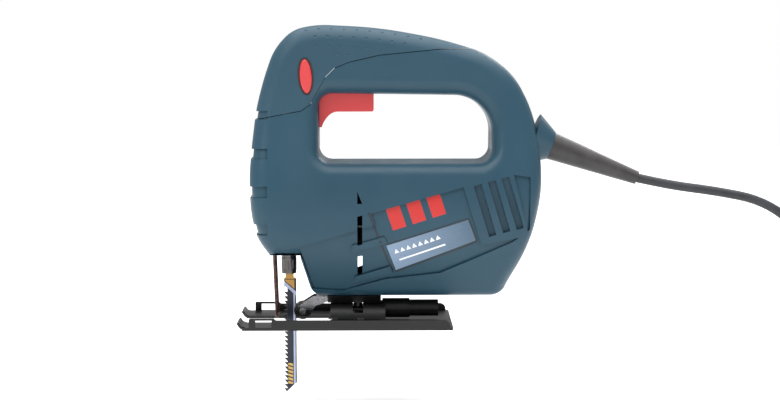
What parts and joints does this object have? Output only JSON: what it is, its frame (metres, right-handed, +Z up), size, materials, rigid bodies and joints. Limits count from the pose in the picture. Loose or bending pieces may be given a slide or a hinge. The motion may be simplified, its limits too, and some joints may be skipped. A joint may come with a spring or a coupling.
{
  "type": "jigsaw",
  "caption": "Corded hand jigsaw with closed hand grip, trigger with lock button, reciprocating blade, tilting and sliding sole plate, dust tube and coiled mains lead.",
  "frame": {"origin": "centre of the sole plate's underside, square to the plate, halfway along its length", "axes": "+Z up out of the sole towards the grip, +X from the blade towards the cord, +Y to the tool's right side seen from behind"},
  "size_m": [0.5421, 0.0967, 0.2675],
  "materials": {
    "housing_plastic": "satin",
    "label_metal": "satin",
    "red_plastic": "satin",
    "black_plastic": "satin",
    "relief_rubber": "matte",
    "cord_rubber": "matte",
    "cast_alloy": "matte",
    "bronze": "satin",
    "steel": "satin",
    "spring_steel": "satin",
    "blackened_steel": "satin",
    "blade_steel": "satin",
    "laminations": "matte",
    "copper": "gloss",
    "brush_brass": "satin",
    "carbon": "matte",
    "capacitor_yellow": "gloss",
    "sole_paint": "gloss",
    "plug_brass": "gloss"
  },
  "bodies": {
    "housing": {"housing_left": "housing_plastic", "housing_right": "housing_plastic", "top_cover": "housing_plastic", "name_plate": "label_metal", "trim_stripes": "red_plastic", "gear_frame": "cast_alloy", "plunger_bushes": "bronze", "wheel_axle": "steel", "axle_ring": "steel", "front_bearing": "steel", "rear_bearing": "steel", "stator_core": "laminations", "field_coils": "copper", "brush_carrier": "black_plastic", "brush_holders": "brush_brass", "carbon_brushes": "carbon", "brush_springs": "spring_steel", "trigger_pin": "steel", "switch_body": "black_plastic", "trigger_spring": "spring_steel", "lock_bezel": "black_plastic", "lock_guide": "black_plastic", "lock_spring": "spring_steel", "housing_screws": "steel", "suppression_capacitor": "capacitor_yellow", "cord_clamp": "black_plastic", "clamp_screws": "steel", "base_shoe": "black_plastic", "saddle_screw": "steel", "saddle_washer": "steel", "roller_fork": "blackened_steel", "roller_pin": "steel", "touch_guard": "blackened_steel", "bend_relief": "relief_rubber", "cord_lead_in": "cord_rubber", "power_cord": "cord_rubber", "cord_coil": "cord_rubber", "cord_tail": "cord_rubber", "cord_tie": "black_plastic", "plug_body": "black_plastic", "plug_pins": "plug_brass"},
    "armature": {"armature_shaft": "steel", "armature_core": "laminations", "armature_windings": "copper", "commutator": "copper", "fan": "black_plastic"},
    "crank": {"crank_wheel": "steel", "crank_pin": "steel"},
    "plunger": {"plunger_rod": "steel", "scotch_yoke": "steel", "blade_clamp": "blackened_steel", "saw_blade": "blade_steel"},
    "collar": {"clamp_collar": "blackened_steel"},
    "trigger": {"trigger": "red_plastic"},
    "switch_button": {"switch_plunger": "black_plastic"},
    "lock": {"lock_button": "red_plastic"},
    "saddle": {"bevel_saddle": "black_plastic"},
    "sole": {"sole_plate": "sole_paint", "sole_rivets": "steel"},
    "roller": {"guide_roller": "blackened_steel"}
  },
  "joints": [
    {"name": "armature_spin", "type": "hinge", "parent": "housing", "child": "armature", "pos_m": [0.02, 0, 0.072], "axis": [1, 0, 0], "range_deg": [-540, 540]},
    {"name": "crank_spin", "type": "hinge", "parent": "housing", "child": "crank", "pos_m": [-0.025, 0, 0.0972], "axis": [1, 0, 0], "range_deg": [-90, 90]},
    {"name": "plunger_slide", "type": "slide", "parent": "housing", "child": "plunger", "axis": [0, 0, 1], "range_m": [-0.01, 0.01]},
    {"name": "collar_twist", "type": "hinge", "parent": "plunger", "child": "collar", "pos_m": [-0.041, 0, 0.041], "axis": [0, 0, 1], "range_deg": [0, 60], "stiffness_Nm_per_rad": 0.02, "springref_deg": -28.65},
    {"name": "trigger_pull", "type": "hinge", "parent": "housing", "child": "trigger", "pos_m": [-0.0245, 0, 0.141], "axis": [0, -1, 0], "range_deg": [0, 8], "stiffness_Nm_per_rad": 0.4, "springref_deg": -14.32, "deforming": ["trigger_spring"]},
    {"name": "switch_travel", "type": "slide", "parent": "housing", "child": "switch_button", "axis": [0, 0, 1], "range_m": [0, 0.0058]},
    {"name": "lock_press", "type": "slide", "parent": "housing", "child": "lock", "axis": [0, 1, 0], "range_m": [0, 0.003], "stiffness_N_per_m": 700, "springref_m": -0.004, "deforming": ["lock_spring"]},
    {"name": "bevel_tilt", "type": "hinge", "parent": "housing", "child": "saddle", "pos_m": [0.007, 0, 0.002], "axis": [1, 0, 0], "range_deg": [-45, 45]},
    {"name": "sole_shift", "type": "slide", "parent": "saddle", "child": "sole", "axis": [1, 0, 0], "range_m": [0, 0.012]},
    {"name": "roller_spin", "type": "hinge", "parent": "housing", "child": "roller", "pos_m": [-0.0315, 0, 0.0084], "axis": [0, 1, 0], "continuous": true}
  ],
  "couplings": [
    {"joint": "crank_spin", "follows": "armature_spin", "ratio": -0.16667},
    {"joint": "plunger_slide", "follows": "armature_spin", "m_per_rad": -0.001061},
    {"joint": "switch_travel", "follows": "trigger_pull", "m_per_rad": 0.04}
  ]
}
